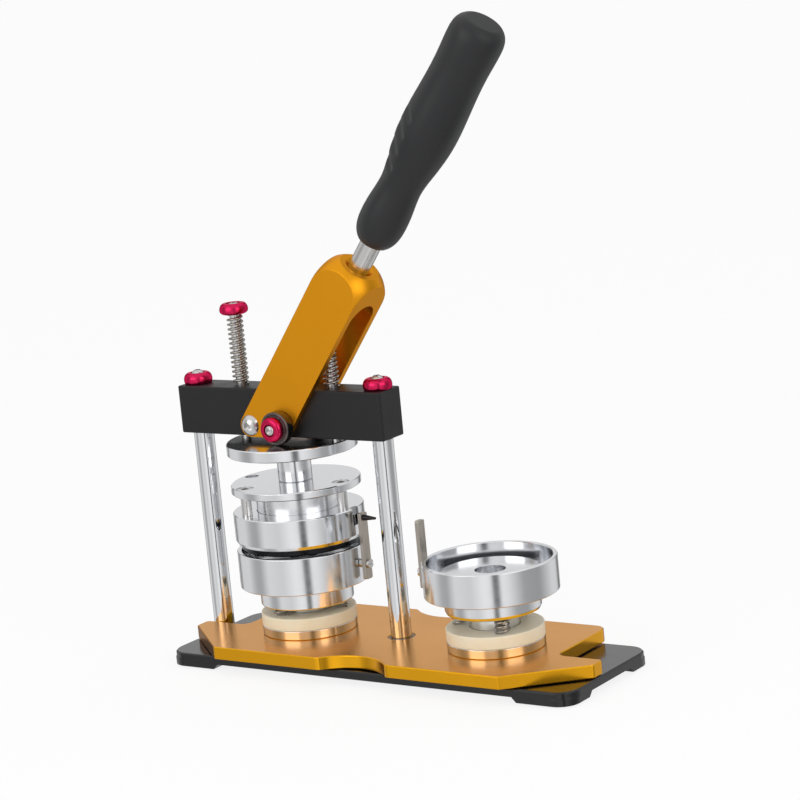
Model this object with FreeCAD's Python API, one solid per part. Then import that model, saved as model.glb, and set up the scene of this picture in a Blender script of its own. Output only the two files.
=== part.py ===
import FreeCAD
import Part
import math
import os

V = FreeCAD.Vector

# Button badge maker: a lever press with a two-station rotary die plate.
# Millimetres. X runs along the base, Y to the rear, Z up.
# The pieces are drawn about the press axis, and save() moves the origin to the table under the swivel
# column, which is the middle of the base.

# Driving dimensions
badge_d = 58.0                      # finished badge
column_d = 12.0
station_r = 64.5                    # press axis to swivel column
throat = 116.0                      # rotary plate to the underside of the beam
running = 0.3                       # clearance between bodies that pass each other
shaft_fit = 0.06                    # radial clearance of a shaft in its bore
seat_gap = 0.02                     # clearance between pieces fixed to each other

# Base
foot_t, pad_drop, base_t = 1.0, 3.0, 4.8
base_half_l, base_half_w, base_corner = 137.0, 45.0, 12.0
pad_l, pad_w = 36.0, 24.0
washer_r, washer_t = 19.0, 0.8
base_bot = foot_t + pad_drop
base_top = base_bot + base_t

# Rotary plate
plate_t = 7.2
plate_bot = base_top + washer_t
plate_top = plate_bot + plate_t
plate_half_w, waist_half_w, waist_half_l = 51.0, 41.0, 23.0
prong_x, prong_y = 136.5, -16.5
diag_x = 97.0
notch_x, notch_r = 107.0, 6.0
rear_corner_r = 8.0
stop_y = -(column_d / 2 + running)
bush_d, bush_fit = 16.0, 0.05

# Beam
beam_half_l, beam_half_w, beam_h = station_r + 7.9, 10.5, 28.0
beam_bot = plate_top + throat
beam_top = beam_bot + beam_h
tie_d = 6.0

# Lower dies
die_r = badge_d / 2 + 9.0           # outside of the rings
cup_r = badge_d / 2 + 6.3           # opening that takes the print and film
crown_r = badge_d / 2 - 0.5
seat_r, seat_t, buffer_t = 27.7, 5.5, 7.1
post_r = 14.0
crown_hole_r, crown_hole_depth = 8.7, 6.0
rim_z = plate_top + 50.5
crown_z = rim_z - 6.5
cup_depth = 15.3
neck_r = 27.2
ring_h = {"a": 21.5, "b": 19.2}
neck_h = {"a": 11.6, "b": 10.6}
neck_round = {"a": 0.8, "b": 2.4}
die_spring_r, die_spring_d, die_spring_wire = 20.3, 9.0, 1.4
die_spring_pocket = 5.0
die_spring_turns = {"a": 3.5, "b": 4.5}
die_spring_angles = (-105.0, 15.0, 135.0)

# Latch arms on the lower rings
latch_y, latch_w, latch_t = 3.8, 6.0, 2.4
latch_x = die_r + 2.9
latch_bot, latch_top, latch_pivot = plate_top + 31.5, plate_top + 70.5, plate_top + 40.5
latch_screw_d, latch_head_r = 3.2, 2.6
latch_pin_l, latch_pin_r, latch_pin_tip_r = 8.0, 1.8, 0.7

# Lever: u runs along the handle, w across it, both from the pivot
lean = 36.3                         # lean of the lever at rest, from vertical
arm = 22.0                          # pivot to roller
pivot_x, pivot_z = -17.2, beam_bot + 7.3
fork_w, fork_half_d, slot_clear = 31.2, 15.2, 0.4
fork_top, dome_u, slot_u = 118.0, 99.7, 90.7
axle_d = 8.0
roller_r, roller_t, roller_bore_d = 9.6, 6.0, 6.2
shaft_d, shaft_u0, grip_u0, grip_u1 = 12.4, 104.0, 135.5, 280.5
groove_u, groove_pitch, groove_r, groove_depth = 50.0, 10.5, 3.2, 1.9
groove_facing, groove_fall = 231.0, 14.0    # degrees round the grip from the pull side, and degrees down
pull_max = 38.0

# Ram and upper die
push_r, push_t = 38.0, 6.6
push_top = pivot_z - roller_r - 0.2
push_bot = push_top - push_t
guide_x, guide_d = 32.5, 6.0
guide_head_z = beam_top + 41.5
return_spring_d, return_spring_wire, return_spring_turns = 9.6, 1.4, 14.5
flange_t = 4.5
flange_top = beam_bot - 27.0
flange_bot = flange_top - flange_t
rod_d = 19.8
hub_r = 24.0
upper_top, upper_bot, upper_lid = flange_bot - 11.5, rim_z + 3.8, 5.0
upper_chamfer = 3.0
punch_bot = rim_z + 1.0
punch_t = 8.7
punch_pad_rise = 8.0
ring_bolt_r, ring_bolt_d, ring_bolt_head_d, ring_bolt_head_t = 32.0, 6.0, 9.4, 3.0
ring_bolt_angles = (0.0, 120.0, 240.0)
dowel_hole_angle, dowel_hole_d = 180.0, 8.0

os.makedirs("parts", exist_ok=True)


def cyl(r, z0, z1, x=0.0, y=0.0):
    return Part.makeCylinder(r, z1 - z0, V(x, y, z0))


def cyl_y(r, y0, y1, x, z):
    return Part.makeCylinder(r, y1 - y0, V(x, y0, z), V(0, 1, 0))


def cyl_x(r, x0, x1, y, z):
    return Part.makeCylinder(r, x1 - x0, V(x0, y, z), V(1, 0, 0))


def tube(r_out, r_in, z0, z1, x=0.0, y=0.0):
    return cyl(r_out, z0, z1, x, y).cut(cyl(r_in, z0 - 1, z1 + 1, x, y))


def box(x0, x1, y0, y1, z0, z1):
    return Part.makeBox(x1 - x0, y1 - y0, z1 - z0, V(x0, y0, z0))


def polar(r, angle):
    return r * math.cos(math.radians(angle)), r * math.sin(math.radians(angle))


def turned(profile, x=0.0, y=0.0):
    """Solid of revolution about a vertical axis, from (radius, height) points."""
    pts = [V(r, 0, z) for r, z in profile]
    face = Part.Face(Part.makePolygon(pts + pts[:1]))
    solid = face.revolve(V(0, 0, 0), V(0, 0, 1), 360)
    solid.translate(V(x, y, 0))
    return solid


def slab(edges, z0, z1):
    face = Part.Face(Part.Wire(edges))
    solid = face.extrude(V(0, 0, z1 - z0))
    solid.translate(V(0, 0, z0))
    return solid


def upright(shape, r, select=None):
    """Round the upright edges of a slab."""
    edges = []
    for e in shape.Edges:
        a, b = e.Vertexes[0].Point, e.Vertexes[-1].Point
        if abs(a.x - b.x) < 1e-6 and abs(a.y - b.y) < 1e-6 and abs(a.z - b.z) > 1:
            if select is None or select(a):
                edges.append(e)
    return shape.makeFillet(r, edges)


def helix(mean_r, wire_d, z0, z1, turns, x=0.0, y=0.0):
    """Coil of round wire, one biarc pair to each quarter turn, between two heights."""
    wire_r = wire_d / 2
    rise = (z1 - z0 - wire_d) / turns
    steps = int(round(turns * 4))

    def point(t):
        a = 2 * math.pi * t
        return V(mean_r * math.cos(a), mean_r * math.sin(a), z0 + wire_r + rise * t)

    def tangent(t):
        a = 2 * math.pi * t
        d = V(-2 * math.pi * mean_r * math.sin(a), 2 * math.pi * mean_r * math.cos(a), rise)
        return d.normalize()

    edges = []
    for i in range(steps):
        t0, t1 = i * turns / steps, (i + 1) * turns / steps
        p0, p1 = point(t0), point(t1)
        d0, d1 = tangent(t0), tangent(t1)
        chord = p1 - p0
        s = d0 + d1
        a = 2 * (1 - d0.dot(d1))
        b = 2 * chord.dot(s)
        c = -chord.dot(chord)
        k = (-b + math.sqrt(b * b - 4 * a * c)) / (2 * a)
        q0, q1 = p0 + d0 * k, p1 - d1 * k
        mid = (q0 + q1) * 0.5
        for p, q, m in ((p0, q0, mid), (mid, q1, p1)):
            edges.append(biarc_half(p, q, m))
    path = Part.Wire(edges)
    profile = Part.Wire([Part.makeCircle(wire_r, point(0), tangent(0))])
    solid = path.makePipeShell([profile], True, False)
    solid.translate(V(x, y, 0))
    print("coil gap %.2f mm" % coil_gap([point(i / 36.0) for i in range(int(turns * 36))], wire_d))
    return solid


def coil_gap(points, wire_d):
    """Least clear space between turns, measured on points of the wire's middle line, 36 to a turn."""
    return min((points[i] - points[j]).Length for i in range(len(points))
               for j in range(i + 18, len(points))) - wire_d


def biarc_half(p, q, m):
    """Arc from p to m that is tangent to p-q and q-m."""
    bisector = ((p - q).normalize() + (m - q).normalize()).normalize()
    half = (p - q).getAngle(m - q) / 2
    leg = (p - q).Length
    radius = leg * math.tan(half)
    reach = leg / math.cos(half)
    return Part.Arc(p, q + bisector * (reach - radius), m).toShape()


def compound(solids):
    return Part.makeCompound(solids)


def mirror_y(shape):
    return shape.mirror(V(0, 0, 0), V(0, 1, 0))


def half_turn(shape):
    """The same piece at the other die station, half a turn round the swivel column."""
    return shape.copy().rotate(V(station_r, 0, 0), V(0, 0, 1), 180)


def save(name, shape):
    """Write one piece, with the swivel column's axis as X zero."""
    shape = shape.copy()
    shape.translate(V(-station_r, 0, 0))
    shape.exportStep("parts/%s.step" % name)
    kind = "%d solids" % len(shape.Solids)
    print("%-22s %s %s" % (name, kind, "" if shape.isValid() else "INVALID"))


def button_head(r, h, z0, x=0.0, y=0.0, socket_r=2.0):
    """Domed screw head with a six-sided socket, standing on z0."""
    sphere_r = (r * r + h * h) / (2 * h)
    ball = Part.makeSphere(sphere_r, V(x, y, z0 + h - sphere_r))
    head = ball.common(cyl(r, z0, z0 + h, x, y))
    return head.cut(hexagon(socket_r, z0 + h * 0.45, z0 + h + 1, x, y))


def hexagon(r, z0, z1, x=0.0, y=0.0):
    pts = [V(x + polar(r, 60 * i)[0], y + polar(r, 60 * i)[1], z0) for i in range(7)]
    return Part.Face(Part.makePolygon(pts)).extrude(V(0, 0, z1 - z0))


def cup_washer(r, r_top, r_foot, h, bore_r, z0, x=0.0, y=0.0):
    """Round-bellied finishing washer, with a recess in its top for the screw head."""
    quarter = [math.radians(15 * i) for i in range(7)]
    belly = z0 + 0.38 * h
    lower = [(r_foot + (r - r_foot) * math.sin(a), belly - 0.38 * h * math.cos(a)) for a in quarter]
    upper = [(r_top + (r - r_top) * math.cos(a), belly + 0.62 * h * math.sin(a)) for a in quarter[1:]]
    recess = [(r_top - 1.2, z0 + h), (r_top - 1.2, z0 + 0.6 * h), (bore_r, z0 + 0.6 * h)]
    return turned([(bore_r, z0)] + lower + upper + recess, x, y)


# Base, feet, columns and beam

def make_base():
    cx = station_r
    body = box(cx - base_half_l, cx + base_half_l, -base_half_w, base_half_w, base_bot, base_top)
    body = upright(body, base_corner)
    pads = []
    feet = []
    for sx in (-1, 1):
        for sy in (-1, 1):
            x = cx + sx * (base_half_l - pad_l / 2)
            y = sy * (base_half_w - pad_w / 2)
            pad = box(x - pad_l / 2, x + pad_l / 2, y - pad_w / 2, y + pad_w / 2, foot_t, base_bot + 1)
            pad = upright(pad, base_corner - 1,
                          lambda p: abs(p.x - cx) > base_half_l - 5 and abs(p.y) > base_half_w - 5)
            inner = [e for e in pad.Edges if e.BoundBox.ZMax < foot_t + 1e-3
                     and (abs(e.CenterOfMass.x - cx) < base_half_l - pad_l + 1e-3
                          or abs(e.CenterOfMass.y) < base_half_w - pad_w + 1e-3)]
            pads.append(pad.makeChamfer(pad_drop - 0.4, inner))
            feet.append(cyl(9.0, 0, foot_t - seat_gap, x, y))
    body = body.fuse(pads).removeSplitter()
    rims = [e for e in body.Edges if abs(e.BoundBox.ZMin - base_top) < 1e-3 and e.BoundBox.ZLength < 1e-3]
    body = body.makeChamfer(0.8, rims)
    for x in (-station_r, station_r):
        body = body.cut(cyl(tie_d / 2 + 0.2, 0, base_top + 1, x))
        body = body.cut(cyl(5.4, 0, base_bot + 1.8, x))
    return body, compound(feet)


base_plate, rubber_feet = make_base()
save("base_plate", base_plate)
save("rubber_feet", rubber_feet)

base_screws = []
cap_screws = []
cap_washers = []
for name, x in (("column_left", -station_r), ("column_right", station_r)):
    column = cyl(column_d / 2, base_top + seat_gap, beam_bot - seat_gap, x)
    column = column.makeChamfer(0.6, [e for e in column.Edges if e.BoundBox.ZLength < 1e-3])
    column = column.cut(cyl(tie_d / 2 + seat_gap, 0, base_top + 16, x))
    column = column.cut(cyl(tie_d / 2 + seat_gap, beam_bot - 16, beam_bot + 1, x))
    save(name, column)
    screw = cyl(tie_d / 2, base_bot - 2, base_top + 14, x)
    base_screws.append(screw.fuse(cyl(5.0, base_bot - 2, base_bot + 1.8 - seat_gap, x)))
    cap_washers.append(cup_washer(8.4, 5.4, 7.6, 6.4, tie_d / 2 + 0.1, beam_top + seat_gap, x))
    head_z = beam_top + 6.4 * 0.6 + 2 * seat_gap
    cap = button_head(4.0, 4.4, head_z, x)
    cap_screws.append(cap.fuse(cyl(tie_d / 2, beam_bot - 14, head_z + 0.2, x)))
save("base_screws", compound(base_screws))
save("column_cap_washers", compound(cap_washers))
save("column_cap_screws", compound(cap_screws))

beam = box(-beam_half_l, beam_half_l, -beam_half_w, beam_half_w, beam_bot, beam_top)
beam = upright(beam, 1.5)
beam = beam.makeFillet(0.9, [e for e in beam.Edges if e.BoundBox.ZLength < 1e-3])
for x in (-station_r, station_r):
    beam = beam.cut(cyl(tie_d / 2 + 0.2, beam_bot - 1, beam_top + 1, x))
for x in (-guide_x, guide_x):
    beam = beam.cut(cyl(guide_d / 2 + shaft_fit, beam_bot - 1, beam_top + 1, x))
beam = beam.cut(cyl_y(axle_d / 2 + shaft_fit, -beam_half_w - 1, beam_half_w + 1, pivot_x, pivot_z))
save("crossbeam", beam)

thrust_washer = tube(washer_r, column_d / 2 + 0.2, base_top + seat_gap, plate_bot - 0.05, station_r)
save("thrust_washer", thrust_washer)


# Rotary plate: mirrored ends with a stop prong, and a waist at the swivel

def arc(a, b, c):
    return Part.Arc(V(*a, 0), V(*b, 0), V(*c, 0)).toShape()


def line(a, b):
    return Part.LineSegment(V(*a, 0), V(*b, 0)).toShape()


def rotary_outline():
    """Closed outline about the swivel, starting at the front waist."""
    w, l = plate_half_w, waist_half_l
    front = [(l, -w), (diag_x, -w), (prong_x, prong_y), (prong_x, stop_y), (notch_x, stop_y),
             (notch_x, w), (l, w)]
    edges = [arc((-l, -w), (0, -waist_half_w), (l, -w))]
    edges += [line(a, b) for a, b in zip(front, front[1:])]
    edges += [arc((l, w), (0, waist_half_w), (-l, w))]
    back = [(-x, y) for x, y in reversed(front)]
    edges += [line(a, b) for a, b in zip(back, back[1:])]
    return edges


def make_rotary_plate():
    plate = slab(rotary_outline(), plate_bot, plate_top)
    rounding = ((notch_x, stop_y, notch_r), (notch_x, plate_half_w, rear_corner_r),
                (prong_x, stop_y, 2.5), (prong_x, prong_y, 2.0), (waist_half_l, -plate_half_w, 4.0),
                (waist_half_l, plate_half_w, 4.0), (diag_x, -plate_half_w, 1.5))
    for x, y, r in rounding:
        plate = upright(plate, r,
                        lambda p: abs(abs(p.x) - x) < 0.01 and abs(p.y - y) < 0.01)
    plate = plate.makeChamfer(0.4, [e for e in plate.Edges if abs(e.BoundBox.ZMin - plate_top) < 1e-3])
    plate.translate(V(station_r, 0, 0))
    plate = plate.cut(cyl(bush_d / 2 + seat_gap, 0, plate_top + 1, station_r))
    for x in (0, 2 * station_r):
        plate = plate.cut(cyl(3.2, 0, plate_top + 1, x))
        plate = plate.cut(cyl(6.0, 0, plate_bot + 3.4, x))
    return plate


save("rotary_plate", make_rotary_plate())
bush = tube(bush_d / 2, column_d / 2 + bush_fit, plate_bot, plate_top - 0.2, station_r)
save("swivel_bush", bush)


# Lower dies: core fixed to the plate, ring floating on three springs

seat_z = plate_top + seat_t
buffer_z = seat_z + buffer_t
cup_floor = rim_z - cup_depth
crown_bot = cup_floor + running


def lower_die(tag):
    ring_bot = rim_z - ring_h[tag]
    neck_bot = ring_bot - neck_h[tag]
    pocket_top = neck_bot + die_spring_pocket
    spring_r = (die_spring_d - die_spring_wire) / 2

    seat = tube(seat_r, 3.2, plate_top + seat_gap, seat_z)
    seat = seat.makeChamfer(0.4, [e for e in seat.Edges
                                  if e.BoundBox.XMax > seat_r - 1 and e.BoundBox.ZLength < 1e-3])
    buffer_ring = tube(seat_r, post_r + 0.2, seat_z + seat_gap, buffer_z)
    buffer_ring = buffer_ring.makeFillet(0.6, [e for e in buffer_ring.Edges
                                               if abs(e.BoundBox.ZMin - buffer_z) < 1e-3])

    core = cyl(post_r, seat_z + seat_gap, crown_bot + 1).fuse(cyl(crown_r, crown_bot, crown_z))
    core = core.removeSplitter()
    core = core.makeChamfer(0.7, [e for e in core.Edges if abs(e.BoundBox.ZMin - crown_z) < 1e-3])
    core = core.cut(cyl(crown_hole_r, crown_z - crown_hole_depth, crown_z + 1))
    core = core.cut(cyl(3.0 + seat_gap, 0, seat_z + 14))

    r = neck_round[tag]
    ring = turned([(post_r + shaft_fit, neck_bot), (neck_r - r, neck_bot),
                   (neck_r - 0.3 * r, neck_bot + 0.3 * r),
                   (neck_r, neck_bot + r), (neck_r, ring_bot),
                   (die_r - 0.4, ring_bot), (die_r, ring_bot + 0.4),
                   (die_r, rim_z - 0.4), (die_r - 0.4, rim_z), (cup_r + 0.4, rim_z), (cup_r, rim_z - 0.4),
                   (cup_r, cup_floor), (post_r + shaft_fit, cup_floor)])
    screw_hole = cyl_x(latch_screw_d / 2 + seat_gap, die_r - 2.2, die_r + 1, latch_y, latch_pivot)
    ring = ring.cut(screw_hole)

    springs = []
    for angle in die_spring_angles:
        x, y = polar(die_spring_r, angle)
        ring = ring.cut(cyl(die_spring_d / 2 + running, neck_bot - 1, pocket_top, x, y))
        springs.append(helix(spring_r, die_spring_wire, buffer_z + 0.05, pocket_top - 0.05,
                             die_spring_turns[tag], x, y))

    screw = cyl(3.0, plate_bot + 0.2, seat_z + 12).fuse(cyl(5.6, plate_bot + 0.2, plate_bot + 3.4 - seat_gap))

    arm_y0, arm_y1 = latch_y - latch_w / 2, latch_y + latch_w / 2
    arm_bar = box(latch_x, latch_x + latch_t, arm_y0, arm_y1, latch_bot, latch_top)
    arm_bar = arm_bar.makeFillet(1.2, [e for e in arm_bar.Edges if e.BoundBox.XLength > latch_t - 0.1])
    arm_bar = arm_bar.cut(cyl_x(latch_screw_d / 2 + shaft_fit, latch_x - 1, latch_x + latch_t + 1,
                                latch_y, latch_pivot))
    shank = cyl_x(latch_screw_d / 2, die_r - 2, latch_x + latch_t + 0.5, latch_y, latch_pivot)
    spacer = cyl_x(latch_head_r, die_r + 0.4, latch_x - 0.1, latch_y, latch_pivot)
    head = cyl_x(latch_head_r, latch_x + latch_t + 0.1, latch_x + latch_t + 1.7, latch_y, latch_pivot)
    latch_screw = shank.fuse([spacer, head]).removeSplitter()
    latch_screw = latch_screw.cut(box(latch_x + latch_t + 1.1, latch_x + latch_t + 5,
                                      latch_y - 5, latch_y + 5, latch_pivot - 0.45, latch_pivot + 0.45))

    pieces = {"seat_disc": seat, "buffer_ring": buffer_ring, "die_core": core, "float_ring": ring,
              "die_springs": compound(springs), "die_screw": screw, "latch_arm": arm_bar,
              "latch_screw": latch_screw}
    if tag == "a":
        pin_x, pin_z = latch_x + latch_t + seat_gap, latch_top - 3.0
        pieces["latch_pin"] = Part.makeCone(latch_pin_r, latch_pin_tip_r, latch_pin_l,
                                            V(pin_x, latch_y, pin_z), V(1, 0, 0))
    for name, shape in pieces.items():
        save("%s_%s" % (name, tag), shape if tag == "a" else half_turn(shape))


lower_die("a")
lower_die("b")


# Ram: push plate, rod, flange, punch and guide bolts

push_plate = cyl(push_r, push_bot, push_top)
push_plate = push_plate.makeChamfer(0.5, [e for e in push_plate.Edges if e.BoundBox.ZLength < 1e-3])
for x in (-guide_x, guide_x):
    push_plate = push_plate.cut(cyl(2.6 + seat_gap, push_bot - 1, push_top + 1, x))
save("push_plate", push_plate)

rod = cyl(rod_d / 2, flange_top + seat_gap, push_bot - seat_gap)
rod = rod.makeChamfer(0.4, [e for e in rod.Edges if e.BoundBox.ZLength < 1e-3])
save("ram_rod", rod)

guide_bolts = []
guide_heads = []
for x in (-guide_x, guide_x):
    bolt = cyl(guide_d / 2, push_top + seat_gap, guide_head_z + 4.2, x)
    bolt = bolt.fuse(cyl(2.6, push_bot + 0.5, push_top + 1, x)).removeSplitter()
    bolt = bolt.fuse(button_head(4.2, 2.8, guide_head_z + 4.2, x)).removeSplitter()
    guide_bolts.append(bolt)
    guide_heads.append(cup_washer(8.4, 5.6, 5.4, 6.6, guide_d / 2 + seat_gap, guide_head_z, x))
save("guide_bolts", compound(guide_bolts))
save("guide_heads", compound(guide_heads))
for name, x in (("return_spring_left", -guide_x), ("return_spring_right", guide_x)):
    mean_r = (return_spring_d - return_spring_wire) / 2
    spring_bot, spring_top = beam_top + 0.05, guide_head_z - 0.05
    save(name, helix(mean_r, return_spring_wire, spring_bot, spring_top, return_spring_turns, x))

flange = cyl(die_r - 0.3, flange_bot, flange_top)
flange = flange.makeChamfer(0.5, [e for e in flange.Edges if e.BoundBox.ZLength < 1e-3])
for angle in ring_bolt_angles:
    x, y = polar(ring_bolt_r, angle)
    flange = flange.cut(cyl(ring_bolt_d / 2 + shaft_fit, flange_bot - 1, flange_top + 1, x, y))
    head_seat = flange_top - ring_bolt_head_t - 0.3
    flange = flange.cut(cyl(ring_bolt_head_d / 2 + running, head_seat, flange_top + 1, x, y))
x, y = polar(ring_bolt_r, dowel_hole_angle)
flange = flange.cut(cyl(dowel_hole_d / 2, flange_bot - 1, flange_top + 1, x, y))
save("upper_flange", flange)

punch_r = cup_r - 0.6
punch_top = punch_bot + punch_t
hub = cyl(hub_r, punch_top - 1, flange_bot - seat_gap)
punch = cyl(punch_r, punch_bot, punch_top).fuse(hub).removeSplitter()
punch = punch.cut(cyl(crown_r + 0.8, punch_bot - 1, punch_bot + punch_pad_rise))
punch = punch.makeChamfer(0.5, [e for e in punch.Edges if abs(e.BoundBox.ZMax - punch_bot) < 1e-3])
save("upper_punch", punch)

# Upper ring: hangs on three shoulder bolts, slides up the hub

upper_cup_r = punch_r + 0.4
upper_ring = turned([(hub_r + running, upper_top), (die_r - 0.5, upper_top), (die_r, upper_top - 0.5),
                     (die_r, upper_bot + upper_chamfer),
                     (die_r - 0.35 * upper_chamfer, upper_bot + 0.35 * upper_chamfer),
                     (die_r - 0.9 * upper_chamfer, upper_bot), (upper_cup_r, upper_bot),
                     (upper_cup_r, upper_top - upper_lid), (hub_r + running, upper_top - upper_lid)])
latch_notch = box(die_r - 3.5, die_r + 5, latch_y - latch_w / 2 - running, latch_y + latch_w / 2 + running,
                  upper_top - 10, upper_top + 1)
upper_ring = upper_ring.cut(latch_notch)
ring_bolts = []
for angle in ring_bolt_angles:
    x, y = polar(ring_bolt_r, angle)
    upper_ring = upper_ring.cut(cyl(2.0 + seat_gap, upper_top - 4, upper_top + 1, x, y))
    head_z = flange_top - ring_bolt_head_t
    bolt = cyl(ring_bolt_d / 2, upper_top + seat_gap, head_z + 0.5, x, y)
    bolt = bolt.fuse(cyl(2.0, upper_top - 3.8, upper_top + 1, x, y))
    bolt = bolt.fuse(cyl(ring_bolt_head_d / 2, head_z, flange_top - 0.2, x, y)).removeSplitter()
    ring_bolts.append(bolt.cut(hexagon(2.4, head_z + 0.8, flange_top + 1, x, y)))
save("upper_ring", upper_ring)
save("ring_bolts", compound(ring_bolts))


# Lever: fork, axle, rollers, shaft and grip, built upright and leaned to rest

roller_u = arm * math.sin(math.radians(lean))
roller_w = arm * math.cos(math.radians(lean))
axis_w = roller_w / 2
edge_r = fork_w / 2 - axis_w
slot_half = beam_half_w + slot_clear


def lean_over(shape):
    """From upright at the origin to the rest lean at the pivot."""
    shape = shape.copy().rotate(V(0, 0, 0), V(0, 1, 0), lean)
    shape.translate(V(pivot_x, 0, pivot_z))
    return shape


def make_fork():
    d = fork_half_d
    left, right = -edge_r, fork_w - edge_r
    body = box(left, right, -d, d, roller_u, fork_top)
    corner = Part.Face(Part.makePolygon([V(left, -d, 0), V(right, -d, roller_u), V(left, -d, roller_u),
                                         V(left, -d, 0)])).extrude(V(0, 2 * d, 0))
    toe = Part.Face(Part.makePolygon([V(0, -d, 0), V(roller_w, -d, roller_u), V(right, -d, roller_u + 1),
                                      V(left, -d, roller_u + 1), V(left, -d, 0), V(0, -d, 0)]))
    toe = toe.extrude(V(0, 2 * d, 0))
    dx, dz = math.sin(math.radians(lean)) * edge_r, -math.cos(math.radians(lean)) * edge_r
    sole = Part.Face(Part.makePolygon([V(0, -d, 0), V(dx, -d, dz), V(roller_w + dx, -d, roller_u + dz),
                                       V(roller_w, -d, roller_u), V(0, -d, 0)])).extrude(V(0, 2 * d, 0))
    heel = cyl_y(edge_r, -d, d, 0, 0)
    nose = cyl_y(edge_r, -d, d, roller_w, roller_u)
    body = body.fuse([corner, toe, sole, heel, nose]).removeSplitter()
    dome_r = math.hypot(fork_w / 2, d) + 0.05
    outside = box(left - 1, right + 1, -d - 1, d + 1, dome_u, fork_top + 1)
    body = body.cut(outside.cut(Part.makeSphere(dome_r, V(axis_w, 0, dome_u))))
    slot = box(left - 1, right + 1, -slot_half, slot_half, -30, slot_u)
    slot_end = Part.makeCylinder(slot_half, fork_w + 2, V(left - 1, 0, slot_u), V(1, 0, 0))
    body = body.cut(slot.fuse(slot_end))
    body = body.cut(cyl(shaft_d / 2 + seat_gap, shaft_u0 - 0.5, fork_top + 1, axis_w))
    body = body.cut(Part.makeCone(shaft_d / 2, shaft_d / 2 + 2.2, 2.2, V(axis_w, 0, fork_top - 2.2)))
    body = body.cut(cyl_y(axle_d / 2 + seat_gap, -d - 1, d + 1, 0, 0))
    return body.cut(cyl_y(3.0 + seat_gap, -d - 1, d + 1, roller_w, roller_u))


save("lever_fork", lean_over(make_fork()))

shaft = cyl(shaft_d / 2, shaft_u0, grip_u1 - 30, axis_w)
save("handle_shaft", lean_over(shaft.makeChamfer(0.8, shaft.Edges[:1])))


def make_grip():
    """Moulded grip: lower bulb, waist, palm swell and rounded end, with four finger grooves."""
    stations = ((0.0, 8.4), (4.0, 11.4), (16.0, 13.6), (28.0, 12.9), (39.0, 12.1), (52.0, 13.9), (72.0, 16.5),
                (96.0, 15.9), (118.0, 15.3), (132.0, 15.8), (141.0, 14.4), (145.0, 10.2))
    pts = [V(r, 0, grip_u0 + u) for u, r in stations]
    side = Part.BSplineCurve()
    side.interpolate(pts)
    top = V(0, 0, pts[-1].z)
    foot = V(0, 0, grip_u0)
    edges = [Part.LineSegment(foot, pts[0]).toShape(), side.toShape(),
             Part.LineSegment(pts[-1], top).toShape(), Part.LineSegment(top, foot).toShape()]
    grip = Part.Face(Part.Wire(edges)).revolve(V(0, 0, 0), V(0, 0, 1), 360)
    grip = grip.cut(cyl(shaft_d / 2 + seat_gap, grip_u0 - 1, grip_u1 - 29))
    facing, fall = math.radians(groove_facing), math.radians(groove_fall)
    outwards = V(math.cos(facing), math.sin(facing), 0)
    round_grip = V(-math.sin(facing) * math.cos(fall), math.cos(facing) * math.cos(fall), -math.sin(fall))
    for i in range(4):
        u = grip_u0 + groove_u + groove_pitch * i
        skin_r = side.value(side.parameter(V(15, 0, u))).x
        middle = outwards * (skin_r + groove_r - groove_depth) + V(0, 0, u)
        grip = grip.cut(Part.makeCylinder(groove_r, 60, middle - round_grip * 30, round_grip))
    grip.translate(V(axis_w, 0, 0))
    return grip


save("handle_grip", lean_over(make_grip()))

axle_end = fork_half_d - 0.5
axle = cyl_y(axle_d / 2, -axle_end, axle_end, 0, 0)
axle = axle.cut(cyl_y(2.5 + seat_gap, -axle_end - 1, axle_end + 1, 0, 0))
save("pivot_axle", lean_over(axle))


def facing_front(shape, w, u):
    """Lay a screw or washer built along +Z on the front of the fork, at (w, u)."""
    shape = shape.copy().rotate(V(0, 0, 0), V(1, 0, 0), 90)
    shape.translate(V(w, -fork_half_d, u))
    return shape


pivot_screw = button_head(6.2, 3.6, seat_gap, socket_r=2.3).fuse(cyl(2.5, -9, 0.4)).removeSplitter()
washer_z = running + roller_t + running
roller_washer = cup_washer(7.2, 4.8, 6.6, 4.6, 3.1, washer_z)
roller_screw = button_head(3.5, 3.0, washer_z + 4.6 * 0.6 + seat_gap, socket_r=1.8)
screw_end = slot_half + slot_clear - fork_half_d
roller_screw = roller_screw.fuse(cyl(3.0, screw_end, washer_z + 4.6 * 0.6 + 0.2)).removeSplitter()
roller = tube(roller_r, roller_bore_d / 2, running, running + roller_t)
roller = roller.makeChamfer(0.5, [e for e in roller.Edges if abs(e.BoundBox.XLength - 2 * roller_r) < 0.01])
for r in (5.0, 7.6):
    roller = roller.cut(tube(r + 0.35, r - 0.35, running + roller_t - 0.5, running + roller_t + 1))

pairs = (("pivot_screws", pivot_screw, 0, 0), ("roller_washers", roller_washer, roller_w, roller_u),
         ("roller_screws", roller_screw, roller_w, roller_u))
for name, shape, w, u in pairs:
    front = facing_front(shape, w, u)
    save(name, lean_over(compound([front, mirror_y(front)])))
front_roller = facing_front(roller, roller_w, roller_u)
save("roller_front", lean_over(front_roller))
save("roller_rear", lean_over(mirror_y(front_roller)))
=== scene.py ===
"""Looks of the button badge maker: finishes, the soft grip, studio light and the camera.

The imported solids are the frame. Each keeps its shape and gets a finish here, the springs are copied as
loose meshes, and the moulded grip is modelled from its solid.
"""

import math

import bpy
from mathutils import Euler, Matrix, Vector


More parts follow.
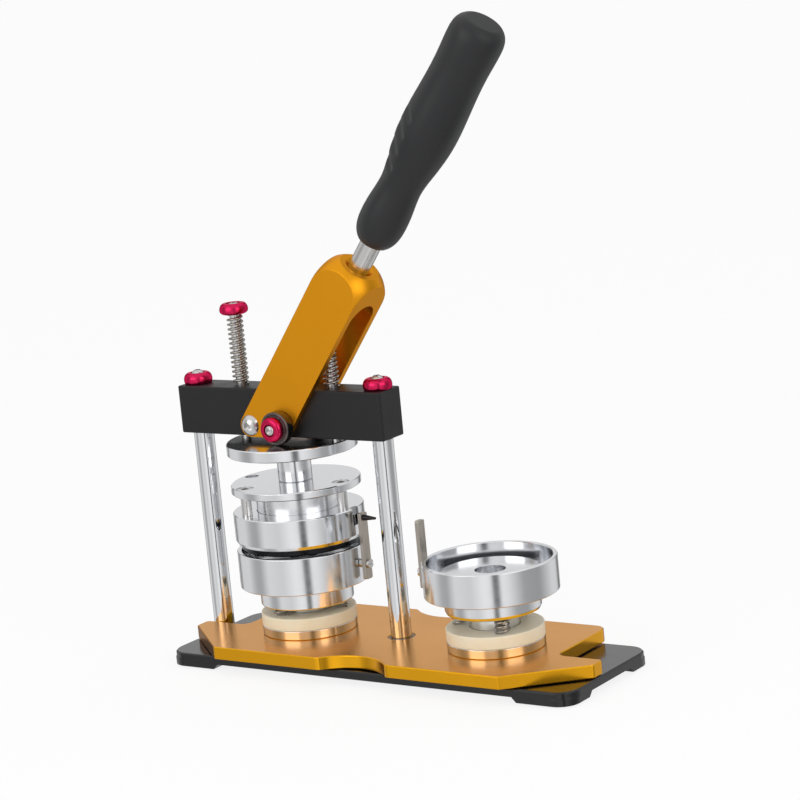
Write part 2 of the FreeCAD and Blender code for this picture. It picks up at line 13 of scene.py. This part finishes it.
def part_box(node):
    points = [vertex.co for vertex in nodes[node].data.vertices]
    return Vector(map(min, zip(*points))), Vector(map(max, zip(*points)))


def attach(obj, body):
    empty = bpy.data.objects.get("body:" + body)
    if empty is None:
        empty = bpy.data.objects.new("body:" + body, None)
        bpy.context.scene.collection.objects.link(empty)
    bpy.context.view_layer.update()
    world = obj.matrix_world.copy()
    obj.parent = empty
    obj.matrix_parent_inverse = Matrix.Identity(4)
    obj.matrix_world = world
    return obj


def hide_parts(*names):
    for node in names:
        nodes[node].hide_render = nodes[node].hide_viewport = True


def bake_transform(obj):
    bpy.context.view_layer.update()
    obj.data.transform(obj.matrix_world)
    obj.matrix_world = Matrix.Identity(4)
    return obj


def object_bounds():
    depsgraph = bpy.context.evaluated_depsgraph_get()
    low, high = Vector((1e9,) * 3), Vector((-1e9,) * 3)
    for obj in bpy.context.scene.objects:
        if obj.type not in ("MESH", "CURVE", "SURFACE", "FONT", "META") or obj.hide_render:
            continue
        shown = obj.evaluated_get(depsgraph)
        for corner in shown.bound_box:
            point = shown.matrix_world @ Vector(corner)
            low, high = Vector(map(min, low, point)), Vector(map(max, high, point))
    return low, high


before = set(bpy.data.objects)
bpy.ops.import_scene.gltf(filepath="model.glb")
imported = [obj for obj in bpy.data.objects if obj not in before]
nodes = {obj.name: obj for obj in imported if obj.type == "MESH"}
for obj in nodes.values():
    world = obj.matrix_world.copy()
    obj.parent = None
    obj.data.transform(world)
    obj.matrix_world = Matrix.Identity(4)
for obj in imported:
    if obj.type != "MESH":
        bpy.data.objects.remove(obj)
solid_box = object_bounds()
scene = bpy.context.scene
scene.view_settings.view_transform = "Standard"



def middle(node):
    """The middle of a solid's box."""
    low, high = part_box(node)
    return (Vector(low) + Vector(high)) / 2


# The two die stations, taken from the frame
press_x = middle("push_plate").x
free_x = middle("buffer_ring_b").x


# Material building blocks


class Finish:
    """A material under construction: one principled shader and the nodes that feed it."""

    def __init__(self, name, colour, roughness, metallic=0.0):
        self.material = bpy.data.materials.new(name)
        self.material.use_nodes = True
        self.tree = self.material.node_tree
        self.shader = self.tree.nodes["Principled BSDF"]
        self.shader.inputs["Base Color"].default_value = (*colour, 1)
        self.shader.inputs["Roughness"].default_value = roughness
        self.shader.inputs["Metallic"].default_value = metallic
        self.colour = colour
        self.roughness = roughness
        self.place = self.node("TexCoord").outputs["Object"]
        self.surface = None

    def node(self, kind, **settings):
        made = self.tree.nodes.new("ShaderNode" + kind)
        for key, value in settings.items():
            setattr(made, key, value)
        return made

    def join(self, source, target):
        self.tree.links.new(source, target)

    def set(self, **sockets):
        for name, value in sockets.items():
            self.shader.inputs[name.replace("_", " ")].default_value = value

    def mapped(self, location=(0, 0, 0), rotation=(0, 0, 0), scale=(1, 1, 1)):
        """Object coordinates moved, turned and stretched."""
        mapping = self.node("Mapping")
        self.join(self.place, mapping.inputs["Vector"])
        mapping.inputs["Location"].default_value = location
        mapping.inputs["Rotation"].default_value = rotation
        mapping.inputs["Scale"].default_value = scale
        return mapping.outputs["Vector"]

    def lathe_place(self, x, y=0.0):
        """Coordinates that run along a turned piece: distance from its axis, then height."""
        centred = self.mapped(location=(-x, -y, 0))
        parts = self.node("SeparateXYZ")
        self.join(centred, parts.inputs["Vector"])
        flat = self.node("CombineXYZ")
        self.join(parts.outputs["X"], flat.inputs["X"])
        self.join(parts.outputs["Y"], flat.inputs["Y"])
        distance = self.node("VectorMath", operation="LENGTH")
        self.join(flat.outputs["Vector"], distance.inputs[0])
        along = self.node("CombineXYZ")
        self.join(distance.outputs["Value"], along.inputs["X"])
        self.join(parts.outputs["Z"], along.inputs["Y"])
        return along.outputs["Vector"]

    def noise(self, place, scale, detail=3.0, rough=0.5):
        texture = self.node("TexNoise")
        self.join(place, texture.inputs["Vector"])
        texture.inputs["Scale"].default_value = scale
        texture.inputs["Detail"].default_value = detail
        texture.inputs["Roughness"].default_value = rough
        return texture.outputs["Fac"]

    def spread(self, value, low, high):
        """Stretches a 0.3 to 0.7 noise over low to high."""
        scaled = self.node("MapRange")
        self.join(value, scaled.inputs["Value"])
        for socket, number in (("From Min", 0.3), ("From Max", 0.7), ("To Min", low), ("To Max", high)):
            scaled.inputs[socket].default_value = number
        return scaled.outputs["Result"]

    def tint(self, value, other):
        """Varies the base colour towards another one with a noise."""
        mix = self.node("Mix", data_type="RGBA")
        self.join(self.spread(value, 0.0, 1.0), mix.inputs["Factor"])
        mix.inputs["A"].default_value = (*self.colour, 1)
        mix.inputs["B"].default_value = (*other, 1)
        self.join(mix.outputs["Result"], self.shader.inputs["Base Color"])

    def roughen(self, value, amount):
        """Varies the roughness by plus or minus amount with a noise."""
        varied = self.spread(value, self.roughness - amount, self.roughness + amount)
        self.join(varied, self.shader.inputs["Roughness"])

    def round_edges(self, radius):
        """Softens the highlights along edges, as a deburred edge does."""
        bevel = self.node("Bevel", samples=4)
        bevel.inputs["Radius"].default_value = radius
        self.surface = bevel.outputs["Normal"]
        self.join(self.surface, self.shader.inputs["Normal"])

    def bump(self, height, depth, strength=1.0):
        """Adds relief of a real depth in metres."""
        relief = self.node("Bump")
        relief.inputs["Strength"].default_value = strength
        relief.inputs["Distance"].default_value = depth
        self.join(height, relief.inputs["Height"])
        if self.surface:
            self.join(self.surface, relief.inputs["Normal"])
        self.surface = relief.outputs["Normal"]
        self.join(self.surface, self.shader.inputs["Normal"])


# Finishes


chrome_plate = (0.80, 0.81, 0.83)
black_nose = (0.022, 0.022, 0.024)


def turned_chrome(name, x, roughness=0.14):
    """Polished plated steel with fine turning lines round a vertical axis at x."""
    finish = Finish(name, chrome_plate, roughness, metallic=1.0)
    along = finish.lathe_place(x)
    marks = finish.noise(along, 1500, detail=2)
    finish.roughen(finish.noise(along, 220, detail=2), 0.035)
    finish.round_edges(0.0004)
    finish.bump(marks, 0.000004, 0.35)
    return finish.material


def gold_anodised(name, roughness, colour=(0.86, 0.360, 0.014), edge=(0.88, 0.74, 0.64), grain=0.000010):
    """Dyed anodised aluminium with a fine blasted grain."""
    finish = Finish(name, colour, roughness, metallic=1.0)
    finish.set(Specular_Tint=(*edge, 1))
    fine = finish.noise(finish.place, 2600, detail=2)
    clouds = finish.noise(finish.place, 26, detail=4)
    finish.tint(clouds, tuple(channel * 0.93 for channel in colour))
    finish.roughen(clouds, 0.03)
    finish.round_edges(0.0006)
    finish.bump(fine, grain, 0.4)
    return finish.material


def red_anodised():
    finish = Finish("red_anodised", (0.66, 0.020, 0.095), 0.24, metallic=1.0)
    finish.set(Specular_Tint=(0.95, 0.45, 0.55, 1))
    finish.roughen(finish.noise(finish.place, 300), 0.05)
    finish.round_edges(0.0003)
    finish.bump(finish.noise(finish.place, 2500), 0.000006, 0.3)
    return finish.material


def satin_black():
    """The beam's black coat, with the fine orange-peel of a thin powder coat."""
    finish = Finish("satin_black", (0.009, 0.009, 0.010), 0.44)
    finish.set(Specular_IOR_Level=0.36)
    finish.roughen(finish.noise(finish.place, 60, detail=4), 0.05)
    finish.round_edges(0.0009)
    finish.bump(finish.noise(finish.place, 900, detail=3), 0.00004, 0.5)
    return finish.material


def gloss_black():
    """The base's deep black, with faint wipe marks."""
    finish = Finish("gloss_black", (0.005, 0.005, 0.006), 0.17)
    finish.set(Specular_IOR_Level=0.4, Coat_Weight=0.25, Coat_Roughness=0.08)
    wipes = finish.noise(finish.mapped(scale=(1, 6, 1)), 28, detail=5)
    finish.roughen(wipes, 0.05)
    finish.round_edges(0.0009)
    finish.bump(finish.noise(finish.place, 700), 0.00001, 0.3)
    return finish.material


def black_oxide():
    finish = Finish("black_oxide", (0.020, 0.020, 0.022), 0.30, metallic=0.6)
    finish.roughen(finish.noise(finish.lathe_place(press_x), 500), 0.08)
    finish.round_edges(0.0003)
    return finish.material


def punch_finish():
    """The punch is black at its nose and plated bright on the hub above."""
    finish = Finish("punch_finish", black_nose, 0.22, metallic=1.0)
    parts = finish.node("SeparateXYZ")
    finish.join(finish.place, parts.inputs["Vector"])
    bright = finish.node("Math", operation="GREATER_THAN")
    finish.join(parts.outputs["Z"], bright.inputs[0])
    bright.inputs[1].default_value = middle("upper_ring").z
    plated = finish.node("Mix", data_type="RGBA")
    finish.join(bright.outputs["Value"], plated.inputs["Factor"])
    plated.inputs["A"].default_value = (*black_nose, 1)
    plated.inputs["B"].default_value = (*chrome_plate, 1)
    finish.join(plated.outputs["Result"], finish.shader.inputs["Base Color"])
    finish.roughen(finish.noise(finish.lathe_place(press_x), 220), 0.05)
    finish.round_edges(0.0003)
    return finish.material


def plain_steel():
    finish = Finish("plain_steel", (0.64, 0.63, 0.62), 0.24, metallic=1.0)
    finish.roughen(finish.noise(finish.place, 260, detail=3), 0.05)
    finish.round_edges(0.0003)
    finish.bump(finish.noise(finish.place, 1600), 0.000002, 0.3)
    return finish.material


def brushed_arm():
    """Warm grey steel, brushed along its length."""
    finish = Finish("brushed_arm", (0.52, 0.48, 0.43), 0.36, metallic=1.0)
    grain = finish.noise(finish.mapped(scale=(1, 1, 0.04)), 1800, detail=3)
    finish.tint(grain, (0.42, 0.38, 0.33))
    finish.roughen(grain, 0.08)
    finish.round_edges(0.0003)
    finish.bump(grain, 0.00002, 0.4)
    return finish.material


def spring_wire():
    finish = Finish("spring_wire", (0.44, 0.42, 0.39), 0.30, metallic=1.0)
    dull = finish.noise(finish.place, 160, detail=3)
    finish.tint(dull, (0.34, 0.32, 0.29))
    finish.roughen(dull, 0.08)
    return finish.material


def cream_nylon():
    finish = Finish("cream_nylon", (0.90, 0.84, 0.68), 0.42)
    finish.set(Subsurface_Weight=0.25, Subsurface_Scale=0.002, Subsurface_Radius=(1.0, 0.7, 0.4))
    mottle = finish.noise(finish.place, 90, detail=5)
    finish.tint(mottle, (0.85, 0.78, 0.60))
    finish.roughen(mottle, 0.06)
    finish.round_edges(0.0005)
    finish.bump(finish.noise(finish.lathe_place(free_x), 1400), 0.00001, 0.4)
    return finish.material


def turned_bronze():
    finish = Finish("turned_bronze", (0.22, 0.12, 0.05), 0.34, metallic=1.0)
    finish.roughen(finish.noise(finish.lathe_place((press_x + free_x) / 2), 900), 0.08)
    finish.round_edges(0.0003)
    return finish.material


def roller_steel():
    """Dark case-hardened rollers, lighter where the rim is worn."""
    finish = Finish("roller_steel", (0.10, 0.095, 0.095), 0.30, metallic=1.0)
    wear = finish.noise(finish.place, 240, detail=4)
    finish.tint(wear, (0.16, 0.14, 0.13))
    finish.roughen(wear, 0.08)
    finish.round_edges(0.0007)
    return finish.material


def soft_rubber():
    """The grip's soft-touch rubber: a fine leathery skin with polished patches where hands hold it."""
    finish = Finish("soft_rubber", (0.010, 0.0105, 0.012), 0.48)
    finish.set(Specular_IOR_Level=0.42, Sheen_Weight=0.05, Sheen_Roughness=0.45)
    handled = finish.noise(finish.place, 24, detail=4)
    finish.tint(handled, (0.014, 0.0145, 0.016))
    finish.roughen(handled, 0.08)
    finish.bump(finish.noise(finish.place, 1500, detail=4, rough=0.65), 0.00008, 0.45)
    return finish.material


def foot_rubber():
    finish = Finish("foot_rubber", (0.018, 0.018, 0.018), 0.8)
    finish.roughen(finish.noise(finish.place, 200), 0.08)
    finish.bump(finish.noise(finish.place, 900, detail=4), 0.00006, 0.5)
    return finish.material


def dress(material, *names):
    """Gives solids a finish."""
    for name in names:
        mesh = nodes[name].data
        mesh.materials.clear()
        mesh.materials.append(material)


for side in ("left", "right"):
    column = "column_" + side
    dress(turned_chrome(column + "_chrome", middle(column).x, roughness=0.07), column)

ram_chrome = turned_chrome("ram_chrome", press_x)
dress(ram_chrome, "push_plate", "ram_rod", "upper_flange", "upper_ring")
for station, axis_x in (("a", press_x), ("b", free_x)):
    die_chrome = turned_chrome("die_chrome_" + station, axis_x, roughness=0.16)
    dress(die_chrome, "float_ring_" + station, "die_core_" + station, "seat_disc_" + station)

steel = plain_steel()
dress(steel, "base_screws", "column_cap_screws", "pivot_screws", "roller_screws", "ring_bolts", "guide_bolts")
dress(steel, "die_screw_a", "die_screw_b", "latch_screw_a", "latch_screw_b", "thrust_washer", "pivot_axle")
dress(steel, "handle_shaft")
dress(gold_anodised("gold_lever", 0.38), "lever_fork")
plate_gold = gold_anodised("gold_plate", 0.23, (0.94, 0.45, 0.016), edge=(0.76, 0.74, 0.92), grain=0.000004)
dress(plate_gold, "rotary_plate")
dress(red_anodised(), "column_cap_washers", "guide_heads", "roller_washers")
dress(satin_black(), "crossbeam")
dress(gloss_black(), "base_plate")
dress(black_oxide(), "latch_pin_a")
dress(punch_finish(), "upper_punch")
dress(brushed_arm(), "latch_arm_a", "latch_arm_b")
wire = spring_wire()
dress(wire, "return_spring_left", "return_spring_right", "die_springs_a", "die_springs_b")
dress(cream_nylon(), "buffer_ring_a", "buffer_ring_b")
dress(turned_bronze(), "swivel_bush")
dress(roller_steel(), "roller_front", "roller_rear")
dress(foot_rubber(), "rubber_feet")


# The moulded grip


def only(piece):
    """Makes one object the only selected and active one."""
    bpy.ops.object.select_all(action="DESELECT")
    piece.select_set(True)
    bpy.context.view_layer.objects.active = piece


def apply_modifier(piece, kind, **settings):
    """Adds a modifier to the active object and applies it."""
    modifier = piece.modifiers.new(kind.title(), kind)
    for key, value in settings.items():
        setattr(modifier, key, value)
    bpy.ops.object.modifier_apply(modifier=modifier.name)


def model_grip():
    """The solid grip with its hard edges moulded soft, as a rubber skin runs into its finger grooves."""
    grip = bpy.data.objects.new("soft_grip", nodes["handle_grip"].data.copy())
    scene.collection.objects.link(grip)
    only(grip)
    bpy.ops.object.mode_set(mode="EDIT")
    bpy.ops.mesh.select_all(action="SELECT")
    bpy.ops.mesh.remove_doubles(threshold=0.00002)
    bpy.ops.object.mode_set(mode="OBJECT")
    apply_modifier(grip, "REMESH", mode="VOXEL", voxel_size=0.0008)
    apply_modifier(grip, "SMOOTH", factor=0.5, iterations=6)
    bpy.ops.object.shade_smooth()
    grip.data.materials.clear()
    grip.data.materials.append(soft_rubber())
    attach(grip, "lever")
    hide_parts("handle_grip")


model_grip()


# Springs copied with their placement baked in


def sprung(node):
    """A copy of a coil with its placement baked into the mesh; the imported coil is hidden."""
    coil = bpy.data.objects.new("sprung_" + node, nodes[node].data.copy())
    scene.collection.objects.link(coil)
    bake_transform(coil)
    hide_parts(node)


for side in ("left", "right"):
    sprung("return_spring_" + side)
for station in ("a", "b"):
    sprung("die_springs_" + station)


# Floor, light and camera


def pale_floor():
    """A white table, lifted towards white where the camera sees it, so that it keeps only a soft shadow."""
    bpy.ops.object.select_all(action="DESELECT")
    bpy.ops.mesh.primitive_circle_add(vertices=96, radius=60, fill_type="NGON")
    floor = bpy.context.object
    floor.name = "pale_floor"
    floor.visible_glossy = False
    material = bpy.data.materials.new("pale_floor")
    material.use_nodes = True
    tree = material.node_tree
    shader = tree.nodes["Principled BSDF"]
    shader.inputs["Base Color"].default_value = (0.94, 0.94, 0.94, 1)
    shader.inputs["Roughness"].default_value = 0.9
    shader.inputs["Specular IOR Level"].default_value = 0.1
    white = tree.nodes.new("ShaderNodeEmission")
    share = tree.nodes.new("ShaderNodeMath")
    share.operation = "MULTIPLY"
    share.inputs[1].default_value = 0.85
    tree.links.new(tree.nodes.new("ShaderNodeLightPath").outputs["Is Camera Ray"], share.inputs[0])
    mix = tree.nodes.new("ShaderNodeMixShader")
    tree.links.new(share.outputs["Value"], mix.inputs["Fac"])
    tree.links.new(shader.outputs["BSDF"], mix.inputs[1])
    tree.links.new(white.outputs["Emission"], mix.inputs[2])
    tree.links.new(mix.outputs["Shader"], tree.nodes["Material Output"].inputs["Surface"])
    floor.data.materials.append(material)


def studio_world(walls, camera_yaw):
    """A pale room: two soft panels in front with a dark gap between, grey sides, two dark gaps behind."""
    world = bpy.data.worlds.new("studio")
    scene.world = world
    world.use_nodes = True
    tree = world.node_tree
    background = tree.nodes["Background"]
    direction = tree.nodes.new("ShaderNodeTexCoord").outputs["Generated"]
    turn = tree.nodes.new("ShaderNodeMapping")
    turn.inputs["Rotation"].default_value = (0, 0, math.pi / 2 - camera_yaw)
    tree.links.new(direction, turn.inputs["Vector"])
    round_room = tree.nodes.new("ShaderNodeTexGradient")
    round_room.gradient_type = "RADIAL"
    tree.links.new(turn.outputs["Vector"], round_room.inputs["Vector"])
    paint = tree.nodes.new("ShaderNodeValToRGB")
    tree.links.new(round_room.outputs["Fac"], paint.inputs["Fac"])
    stops = paint.color_ramp.elements
    for stop in stops:
        stop.color = (0.75, 0.75, 0.75, 1)
    for degrees, level in walls:
        stop = stops.new(0.5 + degrees / 360)
        stop.color = (level, level, level, 1)
    height = tree.nodes.new("ShaderNodeSeparateXYZ")
    tree.links.new(direction, height.inputs["Vector"])
    lift = tree.nodes.new("ShaderNodeMapRange")
    lift.interpolation_type = "SMOOTHSTEP"
    tree.links.new(height.outputs["Z"], lift.inputs["Value"])
    for socket, number in (("From Min", 0.45), ("From Max", 0.75), ("To Min", 0.0), ("To Max", 1.0)):
        lift.inputs[socket].default_value = number
    room = tree.nodes.new("ShaderNodeMix")
    room.data_type = "RGBA"
    tree.links.new(lift.outputs["Result"], room.inputs["Factor"])
    tree.links.new(paint.outputs["Color"], room.inputs["A"])
    room.inputs["B"].default_value = (0.93, 0.93, 0.93, 1)
    seen = tree.nodes.new("ShaderNodeMix")
    seen.data_type = "RGBA"
    tree.links.new(tree.nodes.new("ShaderNodeLightPath").outputs["Is Camera Ray"], seen.inputs["Factor"])
    tree.links.new(room.outputs["Result"], seen.inputs["A"])
    seen.inputs["B"].default_value = (1, 1, 1, 1)
    tree.links.new(seen.outputs["Result"], background.inputs["Color"])


def soft_lamp(name, place, size, power):
    """A square soft box aimed at the middle of the press."""
    lamp = bpy.data.lights.new(name, "AREA")
    lamp.size = size
    lamp.energy = power
    holder = bpy.data.objects.new(name, lamp)
    scene.collection.objects.link(holder)
    holder.location = place
    aim = Vector((press_x + free_x, 0, solid_box[1][2])) / 2
    holder.rotation_euler = (holder.location - aim).to_track_quat("Z", "Y").to_euler()


# The room's walls by angle from the camera, to its right, with their brightness
room_walls = (
    (-168, 0.78),
    (-159, 0.20),
    (-150, 0.20),
    (-140, 0.72),
    (-112, 0.75),
    (-94, 0.45),
    (-82, 0.42),
    (-66, 0.80),
    (-38, 0.72),
    (-16, 0.95),
    (-3, 0.92),
    (2, 0.16),
    (9, 0.16),
    (14, 0.95),
    (26, 0.85),
    (54, 0.40),
    (86, 0.36),
    (120, 0.75),
    (140, 0.72),
    (150, 0.20),
    (159, 0.20),
    (168, 0.78),
)
camera_yaw = math.radians(35.431)
camera_pitch = math.radians(10.688)
camera_roll = math.radians(5.408)
camera_place = (press_x + 0.9296, -1.1957, 0.4318)
camera_lens = 120.5

pale_floor()
studio_world(room_walls, camera_yaw)
soft_lamp("left_panel", (press_x - 0.25, -1.35, 0.75), 1.0, 4.5)
soft_lamp("right_panel", (press_x + 1.45, -0.35, 0.75), 1.0, 4.5)

camera = bpy.data.cameras.new("photo_view")
camera.lens = camera_lens
camera.sensor_width = 36
camera.clip_end = 100
view = bpy.data.objects.new("photo_view", camera)
scene.collection.objects.link(view)
level = Euler((math.pi / 2 - camera_pitch, 0, camera_yaw)).to_matrix()
view.location = camera_place
view.rotation_euler = (level @ Matrix.Rotation(-camera_roll, 3, "Z")).to_euler()
scene.camera = view
